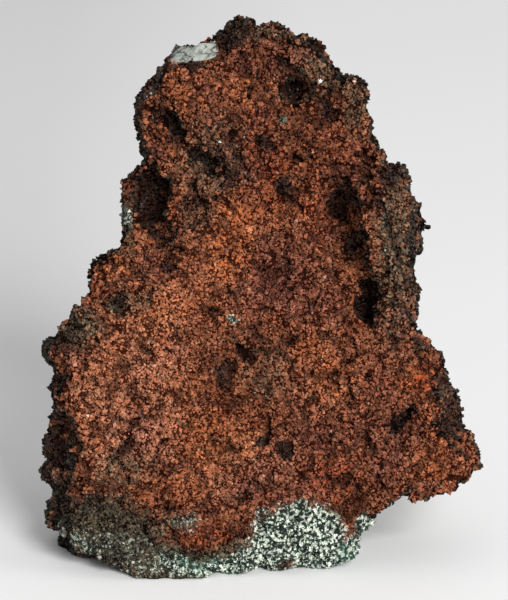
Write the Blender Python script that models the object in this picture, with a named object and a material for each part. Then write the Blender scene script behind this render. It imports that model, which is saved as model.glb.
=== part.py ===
"""A cuprite specimen: one rough, broken stone with a crusted front, standing on a flat base.

The stone is shaped in millimetres in the frame of its own face: u runs to the right, v up the
face, and w out of the face towards whoever looks at it. The face leans back, so the finished
shape is turned about X by that lean, cut off flat at the floor and brought to metres, with the
origin in the middle of the bounding box's underside.
"""

import math
from typing import NamedTuple

import bmesh
import bpy
import numpy as np
from mathutils import Matrix, Vector, noise

NODE = "cuprite_specimen"
MM = 0.001

# Driving sizes, in millimetres and degrees
FACE_LEAN_DEG = 16.0
FACE_LEVEL = 6.5
FACE_SLOPE = 0.04
FACE_MIDDLE_V = 40.0
BASE_THICKNESS = 31.0
TOP_THICKNESS = 12.0
THINNEST = 3.0
STONE_HEIGHT = 80.0
FLOOR_LEVEL = 2.6

# The back has a simpler outline: how many neighbours on each side a point is averaged with,
# and its size as a share of the front
BACK_SMOOTHING = 4
BACK_SIZE = 0.93

# How round the rim is, in front and behind
FRONT_RIM = 3.2
BACK_RIM = 4.5

# How steep the rim gets at the outline, where 1 is upright
RIM_STEEPNESS = 0.98

# Mesh sizes
BLANK_DEPTH = 20.0
BLANK_VOXEL = 0.9
FINE_VOXEL = 0.62
MOST_TRIANGLES = 10400

# The outline of the face, seen square on, counter-clockwise, as (u, v)
FOOT = [
    (-18.2, 1.7), (-15.1, 0.6), (-11.9, 0.3), (-8.4, 0.3), (-4.9, 0.8), (-1.4, 1.5),
    (1.4, 1.7), (5.6, 2.2), (9.4, 2.4), (11.9, 2.7),
]
FOOT_TO_RIGHT_CORNER = [
    (13.4, 3.4), (14.2, 5.8), (16.6, 8.8), (18.3, 10.8), (20.4, 12.0), (22.1, 12.0),
    (24.2, 12.9), (26.3, 13.4), (28.5, 14.2), (30.0, 15.4), (30.9, 18.3), (30.2, 19.6),
]
RIGHT_SIDE = [
    (28.6, 21.3), (28.5, 23.5), (27.6, 25.8), (25.9, 30.7), (24.6, 32.6), (23.0, 34.0),
    (21.2, 35.4), (21.9, 36.8), (22.2, 38.8), (21.6, 40.9), (21.2, 43.5), (22.0, 46.2),
    (21.8, 52.6), (21.3, 54.0), (20.5, 55.6), (19.8, 57.0), (18.0, 58.4), (16.6, 60.4),
    (15.2, 62.0), (15.6, 63.7), (14.8, 67.3), (15.3, 68.5), (14.4, 70.1), (12.4, 70.5),
]
CREST = [
    (11.4, 71.8), (9.0, 73.9), (8.4, 75.4), (7.5, 76.4), (5.3, 76.9), (3.4, 77.9),
    (2.1, 78.2), (1.1, 79.0), (0.4, 78.5), (-0.7, 78.1), (-1.5, 78.8), (-2.7, 79.2),
    (-3.8, 78.5), (-5.1, 77.1), (-5.9, 76.3),
]
LEFT_SHOULDER = [
    (-6.5, 75.6), (-9.0, 75.3), (-10.5, 75.4), (-11.4, 74.6), (-13.3, 72.2), (-15.3, 69.8),
    (-16.8, 68.3), (-17.7, 66.9), (-17.1, 64.7), (-17.2, 63.0), (-16.9, 60.9), (-16.4, 59.1),
    (-17.0, 57.1), (-18.6, 56.5), (-19.5, 55.8), (-19.8, 53.5), (-19.4, 50.1), (-18.2, 47.9),
]
LEFT_SIDE = [
    (-19.8, 47.3), (-20.6, 46.4), (-22.6, 45.1), (-23.3, 43.6), (-23.5, 40.9), (-24.7, 39.4),
    (-26.5, 37.7), (-28.2, 36.5), (-28.1, 35.0), (-29.3, 33.6), (-30.2, 32.9), (-30.0, 31.6),
    (-28.9, 29.3), (-29.4, 26.0), (-29.0, 23.8), (-29.7, 21.8), (-30.6, 19.9), (-30.0, 17.9),
    (-30.7, 15.7), (-29.7, 14.6), (-29.4, 13.3), (-29.2, 9.9), (-30.3, 9.1), (-30.3, 7.8),
    (-28.6, 5.8), (-26.5, 4.8), (-24.3, 4.1), (-22.2, 3.2),
]
OUTLINE = FOOT + FOOT_TO_RIGHT_CORNER + RIGHT_SIDE + CREST + LEFT_SHOULDER + LEFT_SIDE


class Relief(NamedTuple):
    """A swell or a hollow: an oval centred on (u, v), turned, that stands height out of the face."""

    name: str
    u: float
    v: float
    half_width: float
    half_height: float
    turn_deg: float
    height: float
    steepness: float = 1.0


class Chip(NamedTuple):
    """A flat break round point: what stands out beyond its plane, within its reach, is gone."""

    name: str
    point: tuple
    outward: tuple
    reach: float


FRONT_RELIEF = [
    Relief("swell at the lower left", -19.0, 26.0, 8.0, 15.0, 0.0, 2.6),
    Relief("long middle trough", 1.5, 35.0, 8.0, 22.0, 0.0, -2.4),
    Relief("swell at the lower right", 20.0, 17.0, 9.0, 8.0, 0.0, 1.4),
    Relief("foot that bulges forward", -10.0, 3.0, 12.0, 6.0, -6.0, 3.4),
    Relief("groove above the foot", -3.4, 8.4, 7.5, 1.3, 10.0, -3.2, 1.5),
    Relief("pale ledge of the foot", 6.0, 5.0, 8.5, 3.6, 4.0, 2.0, 2.0),
    Relief("dark lump of the foot", -20.0, 7.0, 6.0, 3.4, -14.0, 1.8, 1.5),
    Relief("rib on the right", 18.6, 46.0, 4.6, 13.0, 3.0, 4.2, 2.0),
    Relief("trough left of the rib, upper", 10.6, 51.2, 2.0, 4.4, 6.0, -4.2, 1.5),
    Relief("trough left of the rib, lower", 13.3, 45.0, 1.5, 3.2, 38.0, -3.2, 1.5),
    Relief("hole below the trough", 14.9, 39.3, 1.6, 3.0, 0.0, -5.0, 1.5),
    Relief("block at the upper left", -8.0, 66.5, 5.0, 5.5, 0.0, 1.6, 1.5),
    Relief("lump on the crest, left", -1.8, 75.6, 3.6, 2.8, 0.0, 2.6, 1.5),
    Relief("lump on the crest, right", 5.6, 74.2, 3.4, 2.6, -20.0, 2.0, 1.5),
    Relief("lump at the upper right", 11.6, 67.4, 3.6, 3.4, 0.0, 2.2, 1.5),
    Relief("knob at the upper right", 14.6, 68.8, 1.7, 1.8, 0.0, 1.8, 1.5),
    Relief("ledge under the crest", -7.2, 72.2, 4.2, 1.2, -6.0, -2.4, 1.5),
    Relief("slanting cleft", -12.2, 63.6, 1.7, 3.4, 32.0, -4.2, 1.5),
    Relief("low step at the left notch", -17.6, 52.0, 3.6, 6.6, 0.0, -2.4, 1.5),
    Relief("deep hollow at the left notch", -15.2, 53.0, 1.7, 5.6, 4.0, -3.6, 1.5),
    Relief("pocket in the upper left", -8.6, 59.2, 2.6, 1.4, -8.0, -3.0, 1.5),
    Relief("dent below the pocket", -11.0, 54.0, 3.2, 2.8, 0.0, -1.6),
    Relief("round hole near the crest", 4.3, 68.9, 1.4, 1.5, 0.0, -4.6, 1.5),
    Relief("small hole near the crest", 2.9, 71.7, 1.2, 0.9, -20.0, -2.2, 1.5),
    Relief("hollow under the right lump", 8.6, 65.2, 1.2, 2.6, 38.0, -2.6, 1.5),
    Relief("dent in the upper middle", 0.9, 60.9, 1.7, 1.7, 0.0, -1.8, 1.5),
    Relief("paired dents", 3.4, 53.8, 2.0, 1.5, 0.0, -2.6, 1.5),
    Relief("pit at mid left", -12.4, 44.3, 1.4, 1.3, 0.0, -2.2, 1.5),
    Relief("green hollow", -18.6, 38.9, 3.6, 1.4, 12.0, -1.8, 1.5),
    Relief("dark hollow at the left edge", -25.4, 35.1, 3.4, 1.4, 26.0, -1.6, 1.5),
    Relief("long upright pit", -5.2, 29.6, 1.5, 3.4, 0.0, -2.8, 1.5),
    Relief("dent at lower left, upper", -18.2, 24.4, 1.7, 2.8, 12.0, -2.0, 1.5),
    Relief("dent at lower left, lower", -18.5, 18.8, 1.5, 2.2, 0.0, -2.4, 1.5),
    Relief("dent at lower left, right", -15.4, 15.7, 1.7, 1.6, 0.0, -1.6, 1.5),
    Relief("pit at lower middle, left", -0.4, 19.5, 1.0, 1.8, 0.0, -2.2, 1.5),
    Relief("pit at lower middle, right", 3.2, 19.0, 1.1, 2.5, 0.0, -2.6, 1.5),
    Relief("shadowed dip over the foot", -3.2, 12.2, 3.6, 1.2, 0.0, -1.6, 1.5),
    Relief("slit at the right", 19.5, 22.6, 2.3, 0.9, 40.0, -3.4, 1.5),
    Relief("dark flank at the lower left", -29.2, 15.2, 3.0, 7.5, -4.0, -8.5, 2.0),
    Relief("dark flank at the lower right", 27.6, 25.6, 2.6, 6.5, 24.0, -3.2, 1.5),
]

BACK_RELIEF = [
    Relief("spine of the back", 3.0, 34.0, 9.0, 26.0, -10.0, 4.0),
    Relief("hollow in the back", -12.0, 30.0, 6.0, 8.0, 20.0, -4.0, 1.5),
    Relief("upper dent in the back", 6.0, 58.0, 4.5, 6.0, -15.0, -2.4, 1.5),
    Relief("lower dent in the back", 16.0, 20.0, 5.0, 6.0, 0.0, -3.4, 1.5),
    Relief("knob on the back", -16.0, 14.0, 5.0, 5.0, 0.0, 2.6, 1.5),
]

# The share of a chip's reach within which it is quite flat
CHIP_CORE = 0.5

CHIPS = [
    Chip("pale break at the upper left", (-9.4, 74.2, 5.6), (-0.10, 0.50, 0.86), 5.5),
    Chip("break behind the left shoulder", (-13.0, 62.0, -4.0), (-0.66, 0.22, -0.72), 16.0),
    Chip("break behind the right rib", (18.0, 50.0, -6.0), (0.70, 0.20, -0.68), 16.0),
    Chip("break behind the left corner", (-24.0, 24.0, -13.0), (-0.66, 0.12, -0.74), 20.0),
    Chip("break behind the right corner", (22.0, 18.0, -14.0), (0.60, 0.05, -0.80), 18.0),
    Chip("low break in the back", (-4.0, 14.0, -23.0), (-0.18, -0.30, -0.94), 17.0),
    Chip("middle break in the back", (6.0, 38.0, -17.0), (0.22, 0.10, -0.97), 15.0),
    Chip("high break in the back", (-2.0, 66.0, -7.5), (-0.16, 0.34, -0.93), 18.0),
]

# Roughness over the whole stone: how wide its swells are, and how far they move the surface
BROAD_NOISE = (11.0, 1.3)
MIDDLE_NOISE = (5.0, 0.7)

# Domed lumps of the crust, with creases between them: how wide they are, and their rise
LUMPS = (4.8, 3.2)
SMALL_LUMPS = (2.6, 1.5)
LUMP_LEVEL = 0.86

# How far the crust reaches round the side, where 0 ends it at the rim and 1 covers the side
CRUST_REACH = 0.7

# How lumpy the broken back is, as a share of the crusted front
BACK_LUMPINESS = 0.25

# Flat, tilted faces with ledges between them: how wide they are, how far they tilt, and how
# strong they are on the crusted front, as a share of the broken back
FACETS = (7.0, 2.4)
FRONT_FACETS = 0.4

# Spreads the middles of neighbouring facets over different noise cells, so that their tilts differ
TILT_SPREAD = 7.3

STONE_COLOUR = (0.27, 0.085, 0.045, 1.0)
STONE_ROUGHNESS = 0.6


def clear_scene():
    for obj in list(bpy.data.objects):
        bpy.data.objects.remove(obj)


def back_outline():
    """The outline of the back: the face's, with its corners averaged away, and smaller."""
    corners = np.array(OUTLINE)
    shifts = range(-BACK_SMOOTHING, BACK_SMOOTHING + 1)
    smooth = np.mean([np.roll(corners, shift, axis=0) for shift in shifts], axis=0)
    middle = corners.mean(axis=0)
    return middle + (smooth - middle) * BACK_SIZE


def make_blank():
    """A block from the face's outline back to the simpler outline, as an object in millimetres."""
    bm = bmesh.new()
    levels = [(OUTLINE, BLANK_DEPTH / 2), (OUTLINE, 0.0), (back_outline(), -BLANK_DEPTH / 2)]
    rings = [[bm.verts.new((u, v, w)) for u, v in outline] for outline, w in levels]
    for upper, lower in zip(rings, rings[1:]):
        for index in range(len(upper)):
            following = (index + 1) % len(upper)
            bm.faces.new((upper[index], lower[index], lower[following], upper[following]))
    bm.faces.new(rings[0])
    bm.faces.new(reversed(rings[-1]))
    bmesh.ops.recalc_face_normals(bm, faces=bm.faces)
    bmesh.ops.triangulate(bm, faces=bm.faces)
    mesh = bpy.data.meshes.new(NODE)
    bm.to_mesh(mesh)
    bm.free()
    blank = bpy.data.objects.new(NODE, mesh)
    bpy.context.scene.collection.objects.link(blank)
    return blank


def keep_modified_mesh(obj):
    """Makes the mesh that the object's modifiers give its own, and removes the modifiers."""
    bpy.context.view_layer.update()
    graph = bpy.context.evaluated_depsgraph_get()
    mesh = bpy.data.meshes.new_from_object(obj.evaluated_get(graph))
    obj.modifiers.clear()
    obj.data = mesh


def remesh(obj, voxel_size):
    modifier = obj.modifiers.new("Even mesh", "REMESH")
    modifier.mode = "VOXEL"
    modifier.voxel_size = voxel_size
    keep_modified_mesh(obj)


def points_of(mesh):
    points = np.empty(len(mesh.vertices) * 3)
    mesh.vertices.foreach_get("co", points)
    return points.reshape(-1, 3)


def normals_of(mesh):
    normals = np.empty(len(mesh.vertices) * 3)
    mesh.vertex_normals.foreach_get("vector", normals)
    return normals.reshape(-1, 3)


def set_points(mesh, points):
    mesh.vertices.foreach_set("co", points.ravel())
    mesh.update()


def inside(outline, u, v):
    """Which (u, v) lie inside the outline: those with an odd number of edges to their right."""
    odd = np.zeros(len(u), dtype=bool)
    for start, end in zip(outline, np.roll(outline, -1, axis=0)):
        if start[1] == end[1]:
            continue
        spans = (start[1] > v) != (end[1] > v)
        crossing = start[0] + (v - start[1]) * (end[0] - start[0]) / (end[1] - start[1])
        odd ^= spans & (u < crossing)
    return odd


def rim_distance(outline, u, v):
    """How far inside the outline each (u, v) is, and zero outside it."""
    corners = np.array(outline)
    nearest = np.full(len(u), np.inf)
    for start, end in zip(corners, np.roll(corners, -1, axis=0)):
        along = end - start
        share = ((u - start[0]) * along[0] + (v - start[1]) * along[1]) / (along @ along)
        share = np.clip(share, 0.0, 1.0)
        away = np.hypot(u - start[0] - share * along[0], v - start[1] - share * along[1])
        nearest = np.minimum(nearest, away)
    return np.where(inside(corners, u, v), nearest, 0.0)


def rounding(distance, radius):
    """How far a rim of this radius has dropped away, at this distance inside the outline."""
    inward = np.clip(1.0 - distance / radius, 0.0, 1.0)
    return radius * (1.0 - np.sqrt(1.0 - RIM_STEEPNESS * inward**2))


def relief(features, u, v):
    """The sum of the swells and hollows at each (u, v)."""
    height = np.zeros(len(u))
    for item in features:
        turn = math.radians(item.turn_deg)
        across = (u - item.u) * math.cos(turn) + (v - item.v) * math.sin(turn)
        along = (v - item.v) * math.cos(turn) - (u - item.u) * math.sin(turn)
        square = (across / item.half_width) ** 2 + (along / item.half_height) ** 2
        height += item.height * np.exp(-(square**item.steepness))
    return height


def front_surface(u, v, rim):
    level = FACE_LEVEL + FACE_SLOPE * (v - FACE_MIDDLE_V)
    return level + relief(FRONT_RELIEF, u, v) - rounding(rim, FRONT_RIM)


def back_surface(u, v, rim):
    share = np.clip(v / STONE_HEIGHT, 0.0, 1.0)
    thickness = BASE_THICKNESS + (TOP_THICKNESS - BASE_THICKNESS) * share
    return FACE_LEVEL - thickness - relief(BACK_RELIEF, u, v) + rounding(rim, BACK_RIM)


def shape_stone(obj):
    """Moves the block's front and back, and what is between them, to the stone's surfaces."""
    u, v, w = points_of(obj.data).T
    front = front_surface(u, v, rim_distance(OUTLINE, u, v))
    back = back_surface(u, v, rim_distance(back_outline(), u, v))
    back = np.minimum(back, front - THINNEST)
    forward = np.clip(w / BLANK_DEPTH + 0.5, 0.0, 1.0)
    set_points(obj.data, np.column_stack((u, v, back + (front - back) * forward)))


def break_off(obj, chips):
    """Flattens what stands out beyond each chip's plane onto it, less and less near its reach."""
    points = points_of(obj.data)
    for chip in chips:
        outward = np.array(Vector(chip.outward).normalized())
        offset = points - np.array(chip.point)
        beyond = offset @ outward
        away = np.linalg.norm(offset - np.outer(beyond, outward), axis=1)
        share = np.clip((1.0 - away / chip.reach) / (1.0 - CHIP_CORE), 0.0, 1.0)
        points -= np.outer(np.maximum(beyond, 0.0) * share, outward)
    set_points(obj.data, points)


def swell_at(point):
    """How far the broad, uneven swells stand out at this point."""
    height = 0.0
    for size, amount in (BROAD_NOISE, MIDDLE_NOISE):
        height += amount * noise.noise(point / size)
    return height


def lump_at(point):
    """How far the crust's domed lumps stand out at this point."""
    height = 0.0
    for size, amount in (LUMPS, SMALL_LUMPS):
        distances, _ = noise.voronoi(point / size)
        dome = math.sqrt(1.0 - min(distances[0], 1.0) ** 2)
        height += amount * (dome - LUMP_LEVEL)
    return height


def facet_at(point):
    """How far the flat, tilted faces of a break stand out at this point."""
    size, amount = FACETS
    place = point / size
    _, centres = noise.voronoi(place)
    tilt = 2.0 * noise.cell_vector(centres[0] * TILT_SPREAD) - Vector((1.0, 1.0, 1.0))
    return amount * tilt.dot(place - centres[0])


def roughen(obj):
    """Lumps on the crusted front, tilted facets mostly on the broken back, and swells all over."""
    points = points_of(obj.data)
    normals = normals_of(obj.data)
    places = [Vector(point) for point in points]
    swells = np.array([swell_at(place) for place in places])
    lumps = np.array([lump_at(place) for place in places])
    facets = np.array([facet_at(place) for place in places])
    crusted = np.clip(CRUST_REACH + normals[:, 2], 0.0, 1.0)
    lumpiness = BACK_LUMPINESS + (1.0 - BACK_LUMPINESS) * crusted
    facet_share = 1.0 - (1.0 - FRONT_FACETS) * crusted
    heights = swells + lumps * lumpiness + facets * facet_share
    set_points(obj.data, points + normals * heights[:, None])


def thin_out(obj, triangles):
    """Brings the mesh down to this many triangles, which gather where the surface bends most."""
    obj.data.calc_loop_triangles()
    modifier = obj.modifiers.new("Fewer triangles", "DECIMATE")
    modifier.ratio = triangles / len(obj.data.loop_triangles)
    modifier.use_collapse_triangulate = True
    keep_modified_mesh(obj)


def stand_up(obj):
    """Leans the face back, and moves the stone down to where the floor cuts it."""
    upright = Matrix.Rotation(math.radians(90.0 - FACE_LEAN_DEG), 4, "X")
    obj.data.transform(Matrix.Translation((0.0, 0.0, -FLOOR_LEVEL)) @ upright)


def cut_base(obj):
    """Cuts the stone off flat at the floor and closes the cut."""
    bm = bmesh.new()
    bm.from_mesh(obj.data)
    everything = bm.verts[:] + bm.edges[:] + bm.faces[:]
    bmesh.ops.bisect_plane(
        bm, geom=everything, plane_co=(0, 0, 0), plane_no=(0, 0, 1), clear_inner=True
    )
    open_edges = [edge for edge in bm.edges if edge.is_boundary]
    filled = bmesh.ops.triangle_fill(bm, edges=open_edges, use_beauty=True, use_dissolve=False)
    for item in filled["geom"]:
        if isinstance(item, bmesh.types.BMFace):
            for vert in item.verts:
                vert.co.z = 0.0
    bmesh.ops.recalc_face_normals(bm, faces=bm.faces)
    bm.to_mesh(obj.data)
    bm.free()


def centre_on_base(obj):
    """Puts the origin in the middle of the bounding box's underside, and goes over to metres."""
    points = points_of(obj.data)
    low, high = points.min(axis=0), points.max(axis=0)
    middle = Vector(((low[0] + high[0]) / 2, (low[1] + high[1]) / 2, 0.0))
    obj.data.transform(Matrix.Scale(MM, 4) @ Matrix.Translation(-middle))


def stone_material():
    material = bpy.data.materials.new(NODE)
    material.use_nodes = True
    shader = material.node_tree.nodes["Principled BSDF"]
    shader.inputs["Base Color"].default_value = STONE_COLOUR
    shader.inputs["Roughness"].default_value = STONE_ROUGHNESS
    shader.inputs["Metallic"].default_value = 0.0
    return material


def build_specimen():
    stone = make_blank()
    remesh(stone, BLANK_VOXEL)
    shape_stone(stone)
    break_off(stone, CHIPS)
    remesh(stone, FINE_VOXEL)
    roughen(stone)
    remesh(stone, FINE_VOXEL)
    thin_out(stone, MOST_TRIANGLES)
    stand_up(stone)
    cut_base(stone)
    centre_on_base(stone)
    stone.data.materials.clear()
    stone.data.materials.append(stone_material())
    return stone


clear_scene()
build_specimen()
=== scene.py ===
"""The looks of the cuprite specimen: its crystal crust, its speckled rock, floor, light and camera.

The stone is worked on in millimetres in the frame of its own face: u runs to the right, v up the
face, and w out of it towards the viewer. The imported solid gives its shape. Finer lumps and pits
are added to it, and tens of thousands of small crystals are grown on it, as joined meshes.
"""

import math
from typing import NamedTuple

import bmesh
import bpy
import numpy as np
from mathutils import Matrix, Vector, kdtree, noise


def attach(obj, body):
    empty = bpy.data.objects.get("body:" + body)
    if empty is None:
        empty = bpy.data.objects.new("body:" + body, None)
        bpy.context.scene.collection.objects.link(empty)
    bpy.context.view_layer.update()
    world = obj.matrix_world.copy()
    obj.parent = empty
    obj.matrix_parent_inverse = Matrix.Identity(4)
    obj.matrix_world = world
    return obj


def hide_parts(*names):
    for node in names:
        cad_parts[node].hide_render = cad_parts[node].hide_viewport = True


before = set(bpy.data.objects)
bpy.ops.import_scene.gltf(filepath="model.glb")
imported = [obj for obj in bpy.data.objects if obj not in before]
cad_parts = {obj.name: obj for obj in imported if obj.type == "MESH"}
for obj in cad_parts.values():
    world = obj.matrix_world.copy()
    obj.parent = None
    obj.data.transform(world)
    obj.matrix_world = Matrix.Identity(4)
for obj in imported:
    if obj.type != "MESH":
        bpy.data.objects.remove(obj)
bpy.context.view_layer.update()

NODE = "cuprite_specimen"
MM = 0.001

# Where the face lies, as in the solid's own construction, in degrees and millimetres
FACE_LEAN_DEG = 16.0
FLOOR_LEVEL = 2.6
BOX_MIDDLE_X = -0.212
BOX_MIDDLE_Y = 11.037

# The stone under the crystals, in millimetres
BODY_VOXEL = 0.42
BODY_INSET = 0.10
WELD_DISTANCE = 0.001

# Uneven shapes come from points that are moved by noise of this size and strength
WARP = (2.0, 0.8)

# Lumps by size and rise, the height that they rise or fall from, and how low the lowest are
BOULDERS = (4.4, 0.9)
LUMPS = (1.9, 0.95)
SMALL_LUMPS = (1.1, 0.55)
MIDDLE_HEIGHT = 0.7
LOWEST_LUMP = 0.45
KNOBBLY_RISE = 1.0

# Creases between lumps: how wide and deep they are, where their painted shade begins and is darkest,
# and how strong that painted shade is
CREASE = 0.26
CREASE_CUT = 0.65
DARK_CREASE = (0.32, 0.85)
CREASE_SHADE = 0.4
SMALL_CREASE_SHADE = 0.2

# Ragged pits that noise places: their size and depth, and where they begin and are deepest
RAGGED_PITS = [(2.6, 1.3, 0.38, 0.62), (1.3, 0.8, 0.40, 0.62)]

# How much of a named hollow's depth is cut, and where the painted shade of low ground begins and is
# darkest
HOLLOW_DEPTH = 0.72
LOW_GROUND = (0.42, 1.20)

# Crystals, in millimetres: how far apart they are, their radii, how high the highest stand, and
# how far others sink, all over and on the sides
FRONT_SPACING = 0.245
BACK_SPACING = 0.54
CRYSTAL_RADIUS = 0.245
SMALLEST = 0.08
LARGEST = 0.36
HIGHEST = 0.08
SINK = 0.32
SIDE_SINK = 0.07
FLOOR_CLEARANCE = 0.04

# Crystals, as shares: how much their sizes vary, how long or flat they are, how much larger those
# behind are, and how many are glossy
SIZE_SPREAD = 0.20
STRETCH = (0.65, 1.35)
BACK_GROWTH = 1.4
GLOSSY_SHARE = 0.02

# Crystals are spaced as on the back where the stone's normal points further back than this
BACKWARD = -0.1

# Places tried for each square as wide as the front's spacing
PLACES_TRIED = 4
MOST_TRIANGLES_IN_A_PIECE = 190000

# Crystals stand in clumps of this size, and sink by this much in the gaps between them
CLUMP_SIZE = 0.80
GAP_DEPTH = 0.12

# Where the painted shade in gaps and on sunken crystals begins and is darkest, and how dark the
# painted shade of each kind gets
DARK_GAPS = (0.12, 0.40)
SUNKEN = (0.13, 0.22)
GAP_SHADE = 0.6
FISSURE_SHADE = 0.9
SUNKEN_SHADE = 0.85

# Thin fissures: how widely they wander, how wide they are as a share of that, and how deep
FISSURE_SIZE = 5.5
FISSURE_EDGE = 0.045
FISSURE_DEPTH = 0.30

# Patches and hollows bend with noise of these sizes and strengths, so that none is a clean oval
PATCH_WARPS = ((4.5, 1.3), (1.7, 1.1), (0.8, 0.45))

# Patches bend in full from this half size up, in millimetres, and smaller ones less
FULLY_BENT = 1.8

# How much it counts that a point is near the viewer, when the middle of a patch is looked for
FRONT_PREFERENCE = 0.05

# Where a patch begins to show and shows in full, by its strength there
SOFT_EDGE = (0.05, 0.95)
PALE_EDGE = (0.20, 0.80)
DARK_EDGE = (0.30, 0.85)
HARD_EDGE = (0.34, 0.62)

# Wide swells of noise that make the crust warmer or more purple
SWELL_SIZE = 7.0
SWELL_EDGE = (0.1, 0.5)
SWELL_WARMTH = 0.35
SWELL_PURPLE = 0.6

# The back, which the photo doesn't show: how far behind the face it begins and is full, how large
# its patches of rock and of crust are, how much of each shows, and how dark the sides are
BACK_BEGINS = (6.0, 12.0)
BACK_ROCK_SIZE = 11.0
BACK_ROCK_SHARE = 0.8
BACK_CRUST_SIZE = 9.0
BACK_CRUST_SHARE = 0.6
# The sides are painted dark: dark rock, and painted shade where they turn from the light
DARKEST_SIDE = 0.92

# How much kinds of crust mingle where they meet
MINGLING = 0.9

SEED = 20


class Patch(NamedTuple):
    """An oval or a box on the face, centred on (u, v) and turned, strongest in its middle."""

    name: str
    u: float
    v: float
    half_width: float
    half_height: float
    turn_deg: float = 0.0
    strength: float = 1.0
    box: bool = False


# Hollows that are cut into the front, by how deep they are in millimetres
HOLLOWS = [
    Patch("round hole near the crest", 4.3, 68.6, 0.8, 0.8, 0.0, 2.6),
    Patch("small hole near the crest", 3.0, 71.9, 0.8, 0.4, -20.0, 1.2),
    Patch("cleft in the upper left", -12.2, 63.8, 0.7, 2.3, 32.0, 2.0),
    Patch("cleft, upper end", -14.2, 67.0, 0.6, 1.6, 20.0, 1.0),
    Patch("pocket in the upper left", -9.2, 59.4, 2.0, 1.0, -14.0, 1.6),
    Patch("pocket, right end", -5.4, 57.4, 2.0, 0.8, -30.0, 1.2),
    Patch("hollow at the left notch", -15.2, 53.4, 1.1, 5.6, 4.0, 2.4),
    Patch("hollow under the notch", -13.0, 48.2, 2.4, 1.6, 0.0, 1.4),
    Patch("hollow in the upper left lump", -8.4, 53.4, 1.6, 1.3, 0.0, 1.4),
    Patch("trough by the rib, upper", 10.2, 52.4, 1.3, 2.4, 6.0, 2.0),
    Patch("trough by the rib, lower", 12.8, 46.4, 1.2, 2.4, 34.0, 1.8),
    Patch("hole by the rib", 14.5, 38.6, 1.1, 2.7, 0.0, 2.4),
    Patch("dent on the rib, upper", 15.7, 54.2, 1.1, 1.3, 0.0, 1.4),
    Patch("dent on the rib, middle", 16.6, 47.2, 1.4, 1.2, 0.0, 1.2),
    Patch("slit at the right", 19.6, 22.9, 2.0, 0.6, 40.0, 2.2),
    Patch("long upright pit", -4.8, 29.8, 1.2, 2.9, 0.0, 1.5),
    Patch("dent over the upright pit", -4.2, 42.0, 1.2, 1.3, 0.0, 0.9),
    Patch("pit left of the lower middle", 0.3, 20.0, 0.8, 1.3, 0.0, 1.5),
    Patch("pit in the lower middle", 3.4, 18.9, 0.9, 1.7, 0.0, 1.6),
    Patch("pit above it", 2.8, 23.6, 1.0, 0.7, 0.0, 1.0),
    Patch("olive pit", 7.1, 30.2, 0.7, 0.7, 0.0, 1.1),
    Patch("pit right of the middle", 4.5, 23.1, 0.8, 0.6, 0.0, 1.0),
    Patch("pit in the upper middle", 0.9, 60.9, 1.2, 1.0, 0.0, 1.3),
    Patch("paired pits, left", 3.2, 53.7, 1.1, 0.9, 0.0, 1.4),
    Patch("paired pits, right", 4.8, 55.8, 0.9, 0.8, 0.0, 1.2),
    Patch("pit at mid left", -12.4, 44.3, 1.0, 0.9, 0.0, 1.3),
    Patch("pit by it", -9.5, 42.8, 0.8, 0.7, 0.0, 1.0),
    Patch("crack at mid left", -15.6, 45.2, 0.5, 2.4, 12.0, 1.0),
    Patch("green hollow", -18.6, 38.9, 2.8, 0.8, 12.0, 0.8),
    Patch("dent at lower left, upper", -17.6, 23.6, 1.5, 2.4, 30.0, 1.6),
    Patch("dent at lower left, lower", -18.9, 18.7, 1.7, 1.8, 0.0, 1.8),
    Patch("dent at lower left, right", -15.4, 15.7, 1.4, 1.2, 0.0, 1.3),
    Patch("dent at lower left, under", -21.6, 15.2, 1.2, 1.5, 0.0, 1.2),
    Patch("dip over the foot", -3.2, 12.4, 4.4, 1.0, 0.0, 1.2),
    Patch("overhang over the foot", -5.0, 7.9, 4.8, 0.7, 10.0, 1.6),
    Patch("pit in the low right", 22.1, 17.5, 0.8, 0.8, 0.0, 1.0),
    Patch("pit near the right corner", 26.0, 15.1, 0.7, 0.6, 0.0, 0.8),
    Patch("pit right of the middle, low", 15.3, 18.9, 0.7, 0.7, 0.0, 1.0),
    Patch("crack in the upper left", -1.4, 59.5, 0.5, 1.8, 0.0, 1.0),
    Patch("hollow under the right lump", 8.2, 65.2, 0.7, 2.4, 38.0, 1.5),
    Patch("dip under the pale slab", -6.0, 71.4, 2.4, 0.9, 20.0, 1.2),
]

# Where the outline stands out further, or less far, than the solid's, in millimetres
RIM_LUMPS = [
    Patch("left edge, middle", -30.0, 32.6, 2.0, 2.4, 0.0, 1.3),
    Patch("left edge, low", -30.0, 18.4, 2.0, 2.2, 0.0, 1.1),
    Patch("left edge, lowest", -30.0, 10.8, 2.0, 1.4, 0.0, 0.5),
    Patch("left edge, lower", -30.0, 15.0, 2.0, 1.8, 0.0, 1.6),
    Patch("right corner", 30.0, 18.4, 2.0, 2.4, 0.0, 0.7),
    Patch("right edge, low", 28.0, 24.8, 2.0, 1.6, 0.0, 0.6),
    Patch("right edge, middle", 22.4, 45.8, 2.0, 1.6, 0.0, 0.3),
    Patch("crest, right", 13.6, 69.4, 2.0, 2.6, 0.0, 0.9),
    Patch("crest, lower right", 14.8, 64.0, 2.0, 2.0, 0.0, 0.6),
    Patch("crest, upper left", -5.4, 77.4, 2.0, 1.6, 0.0, 0.5),
    Patch("right of the foot", 15.4, 7.6, 1.6, 1.6, 0.0, 0.7),
    Patch("right end of the foot", 13.4, 4.0, 2.0, 2.0, 0.0, 0.8),
]
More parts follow.
